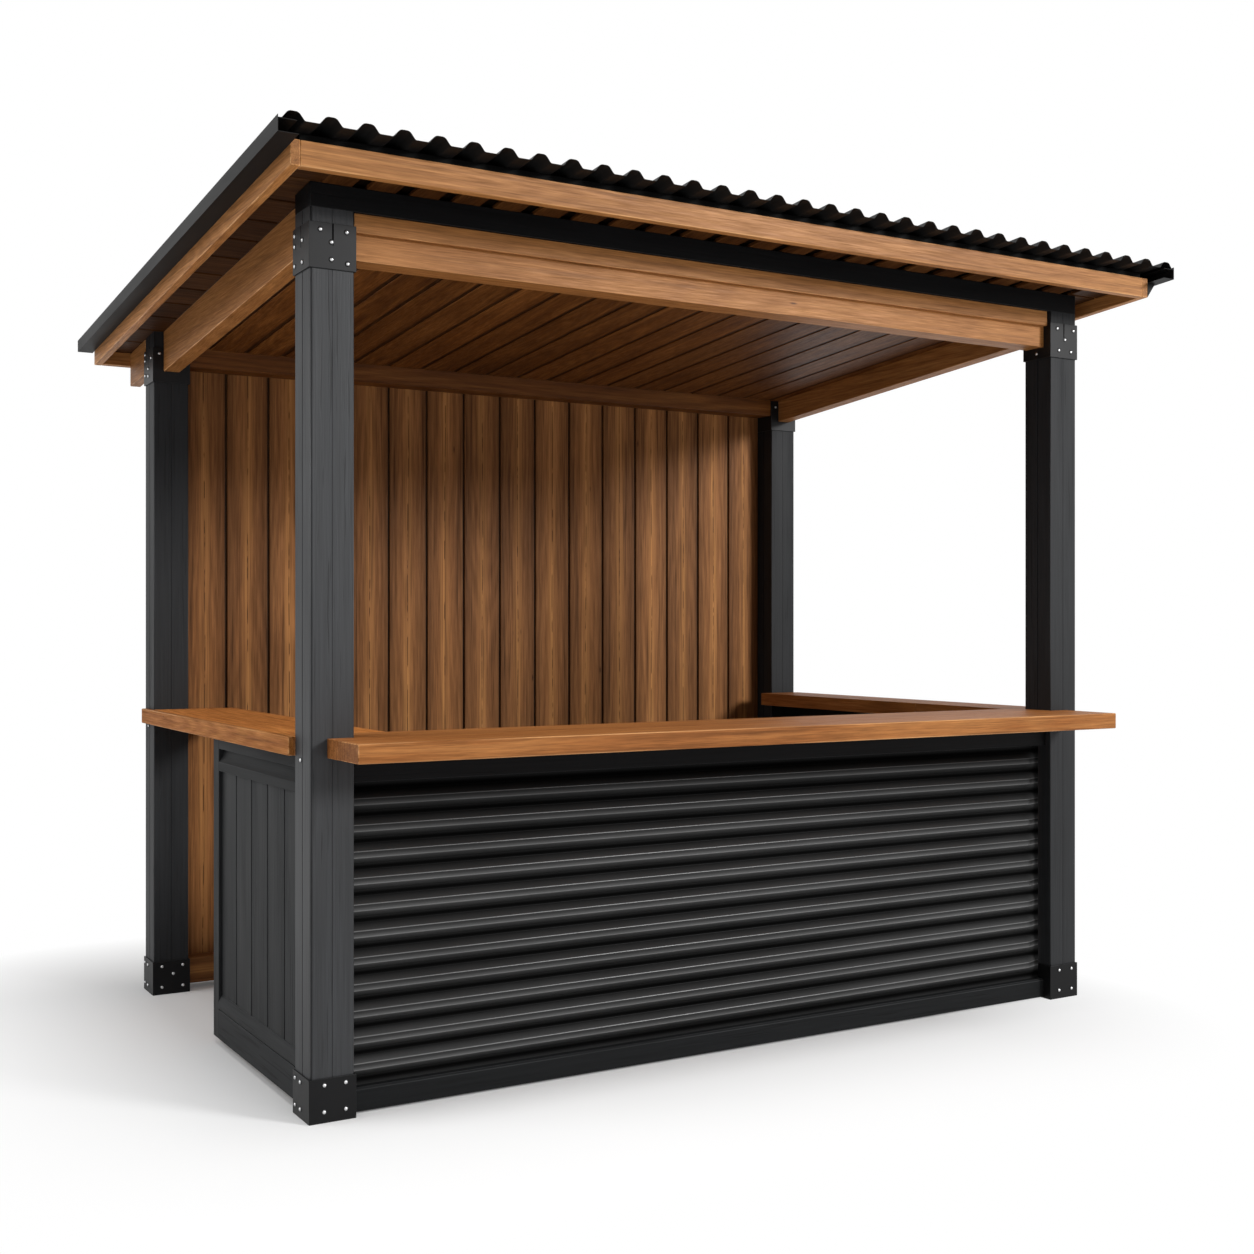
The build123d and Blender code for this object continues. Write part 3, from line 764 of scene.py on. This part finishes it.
(ex, ey, _) = span("right_barge_board")
cap = 40 * MM
cap_section = [(ex[1], -0.049), (ex[1] + cap, 0.0035), (ex[1], 0.0035)]
bm = bmesh.new()
ends = [[bm.verts.new((x, y, roof_line(y) + d)) for x, d in cap_section] for y in (ey[0], ey[0] + cap)]
bm.faces.new(ends[0])
bm.faces.new(list(reversed(ends[1])))
for i in range(3):
    j = (i + 1) % 3
    bm.faces.new((ends[0][j], ends[0][i], ends[1][i], ends[1][j]))
bmesh.ops.recalc_face_normals(bm, faces=bm.faces[:])
eased = bmesh.ops.bevel(bm, geom=bm.edges[:], offset=0.8 * MM, **EASE)["faces"]
end_cap = Piece("verge_end_cap", "roof_metal")
end_cap.add(bm, "y", eased, 0.5)
end_cap.build()

# ---- bolts and roof screws: outlines are (radius, height), marks are (across, up), both in mm

DOME = [(r * MM, h * MM) for r, h in ((5.4, 0.0), (5.3, 2.2), (4.3, 3.5), (2.3, 4.3), (0, 4.5))]
WASHER = [(r * MM, h * MM) for r, h in ((8.0, -0.4), (8.0, 0.7), (7.4, 1.1), (5.0, 1.1), (0, 1.1))]
bolts = Piece("bolts", "black_steel", (), BOLT)
washers = Piece("washers", "black_steel")


def bolt(at, normal):
    washers.lathe(at, normal, WASHER)
    bolts.lathe(at, normal, DOME)


def bolt_face(node, face, marks):
    """Bolts on one upright face of a sleeve, placed from its middle."""
    (x, y, z) = span(node)
    mid = [(a + b) / 2 for a, b in (x, y, z)]
    normal = {"-x": (-1, 0, 0), "+x": (1, 0, 0), "-y": (0, -1, 0), "+y": (0, 1, 0)}[face]
    for across, up in marks:
        at = [mid[0], mid[1], mid[2] + up * MM]
        if face[1] == "x":
            at[0] = x[0] if face == "-x" else x[1]
            at[1] += across * MM
        else:
            at[1] = y[0] if face == "-y" else y[1]
            at[0] += across * MM
        bolt(at, normal)


CORNERS = [(-46, 43), (46, 43), (-46, -43), (46, -43)]
SHOE_FRONT = {
    "front": [(-25, 44), (38, 44), (-26, -31), (38, -31)],
    "rear": [(-36, 44), (42, 44), (6, 14), (-36, -34), (42, -34)],
}
SHOE_SIDE = [(46, 44), (2, 42), (46, -33), (2, -35)]
BRACKET_FRONT = {
    "left": [(-37, 44), (41, 44), (-4, 11), (-4, -38), (44, -45)],
    "right": [(-35, 44), (48, 42), (4, 5), (-27, -37), (35, -39)],
}
BRACKET_SIDE = {
    "front": [(50, 44), (-16, 20), (50, 14), (-16, -42), (50, -42)],
    "rear": [(46, 52), (46, 28), (46, -29), (-2, -8), (-2, -36), (-46, 28)],
}
for side, out, inward in (("left", "-x", "+x"), ("right", "+x", "-x")):
    for end in ("front", "rear"):
        bolt_face(f"{end}_{side}_shoe", "-y", SHOE_FRONT[end])
        bolt_face(f"{end}_{side}_shoe", out, SHOE_SIDE)
    bolt_face(f"rear_{side}_shoe", "+y", CORNERS)
    bolt_face(f"rear_{side}_bracket", "-y", CORNERS[:2])
    bolt_face(f"rear_{side}_bracket", out, BRACKET_SIDE["rear"])
    bolt_face(f"front_{side}_bracket", out, BRACKET_SIDE["front"])
    bolt_face(f"front_{side}_bracket", inward, [(0, -45)])
    bolt_face(f"front_{side}_bracket", "-y", BRACKET_FRONT[side])
COUNTER_BOLT_Z = 1.016
for node in ("front_left_post", "rear_left_post"):
    (x, y, _) = span(node)
    bolt((x[0], (y[0] + y[1]) / 2 + 13 * MM, COUNTER_BOLT_Z), (-1, 0, 0))
SCREW = [(r * MM, h * MM) for r, h in ((8.0, -0.5), (8.0, 1.0), (4.6, 1.6), (4.4, 4.2), (2.6, 5.2), (0, 5.4))]
FIRST_ROW, ROW_STEP, ROWS = -1.153, 0.33543, 8
screws = Piece("roof_screws", "roof_metal")
crest_top = ROOF_SEAT + ROOF_RIB + SHEET
for row in range(ROWS):
    y = FIRST_ROW + ROW_STEP * row
    for rib in range(-15, 16, 3):
        screws.lathe((rib * ROOF_PITCH, y, roof_line(y) + crest_top), (0, FALL, 1), SCREW, 10)
screws.build()
bolts.build()
washers.build()

# ---- floor, light, camera

floor_mesh = bpy.data.meshes.new("floor")
size = 40.0
corners = [(-size, -size, 0), (size, -size, 0), (size, size, 0), (-size, size, 0)]
floor_mesh.from_pydata(corners, [], [(0, 1, 2, 3)])
floor = bpy.data.objects.new("floor", floor_mesh)
bpy.context.scene.collection.objects.link(floor)
g = Graph("pale_floor")
g.bsdf.inputs["Base Color"].default_value = (0.86, 0.86, 0.86, 1)
g.bsdf.inputs["Roughness"].default_value = 0.9
g.bsdf.inputs["Specular IOR Level"].default_value = 0.1
glow = g.node("ShaderNodeEmission")
glow.inputs["Color"].default_value = (1, 1, 1, 1)
glow.inputs["Strength"].default_value = 1.0
path = g.node("ShaderNodeLightPath")
seen = g.math("MAXIMUM", path.outputs["Is Camera Ray"], path.outputs["Is Glossy Ray"])
seen = g.math("MAXIMUM", seen, path.outputs["Is Transmission Ray"])
# the floor turns to plain white away from the stall, and keeps its shadow near it
SHADE_SHIFT = (0.35, 0.0, 0.0)
SHADE_REACH = (1.15, 0.95, 0.0)
place = g.node("ShaderNodeTexCoord").outputs["Object"]
moved = g.node("ShaderNodeVectorMath", operation="ADD")
g.link(place, moved.inputs[0])
moved.inputs[1].default_value = SHADE_SHIFT
reach = g.node("ShaderNodeVectorMath", operation="ABSOLUTE")
g.link(moved.outputs[0], reach.inputs[0])
beyond = g.node("ShaderNodeVectorMath", operation="SUBTRACT")
g.link(reach.outputs[0], beyond.inputs[0])
beyond.inputs[1].default_value = SHADE_REACH
outside = g.node("ShaderNodeVectorMath", operation="MAXIMUM")
g.link(beyond.outputs[0], outside.inputs[0])
far = g.node("ShaderNodeVectorMath", operation="LENGTH")
g.link(outside.outputs[0], far.inputs[0])
fade = g.fit(far.outputs["Value"], 0.0, 1.0, 0.06, 1.0)
fac = g.math("MULTIPLY", seen, fade)
blend = g.node("ShaderNodeMixShader")
g.link(fac, blend.inputs[0])
g.link(g.bsdf.outputs[0], blend.inputs[1])
g.link(glow.outputs[0], blend.inputs[2])
g.link(blend.outputs[0], g.tree.nodes["Material Output"].inputs["Surface"])
floor_mesh.materials.append(g.mat)

world = bpy.data.worlds.new("white_world")
bpy.context.scene.world = world
world.use_nodes = True
wt = world.node_tree
background = wt.nodes["Background"]
background.inputs["Color"].default_value = (1, 1, 1, 1)
paths = wt.nodes.new("ShaderNodeLightPath")
seen = paths.outputs["Is Camera Ray"]
for ray in ("Is Glossy Ray", "Is Transmission Ray"):
    either = wt.nodes.new("ShaderNodeMath")
    either.operation = "MAXIMUM"
    wt.links.new(seen, either.inputs[0])
    wt.links.new(paths.outputs[ray], either.inputs[1])
    seen = either.outputs[0]
level = wt.nodes.new("ShaderNodeMapRange")
level.inputs["To Min"].default_value = 0.15
level.inputs["To Max"].default_value = 1.0
wt.links.new(seen, level.inputs["Value"])
wt.links.new(level.outputs["Result"], background.inputs["Strength"])


def lamp(name, at, aim, size, power):
    data = bpy.data.lights.new(name, "AREA")
    data.shape = "DISK"
    data.size = size
    data.energy = power
    ob = bpy.data.objects.new(name, data)
    ob.location = at
    ob.rotation_euler = (Vector(aim) - Vector(at)).to_track_quat("-Z", "Y").to_euler()
    bpy.context.scene.collection.objects.link(ob)


lamp("key", (8.6, -13.6, 7.0), (0, 0, 1.3), 4.0, 1980)
lamp("top", (-0.9, -2.3, 8.0), (0, -0.3, 0), 5.0, 430)
lamp("left", (-7.2, 0.8, 6.0), (0, 0, 1.2), 5.0, 250)

cam_data = bpy.data.cameras.new("camera")
cam_data.sensor_fit = "HORIZONTAL"
cam_data.sensor_width = 36.0
cam_data.lens = 44.61
cam_data.shift_y = -0.0015
camera = bpy.data.objects.new("camera", cam_data)
camera.location = (-2.9498, -5.1504, 1.3996)
camera.rotation_euler = (math.radians(90), 0, math.radians(-30.593))
bpy.context.scene.collection.objects.link(camera)
bpy.context.scene.camera = camera
bpy.context.scene.view_settings.view_transform = "Standard"
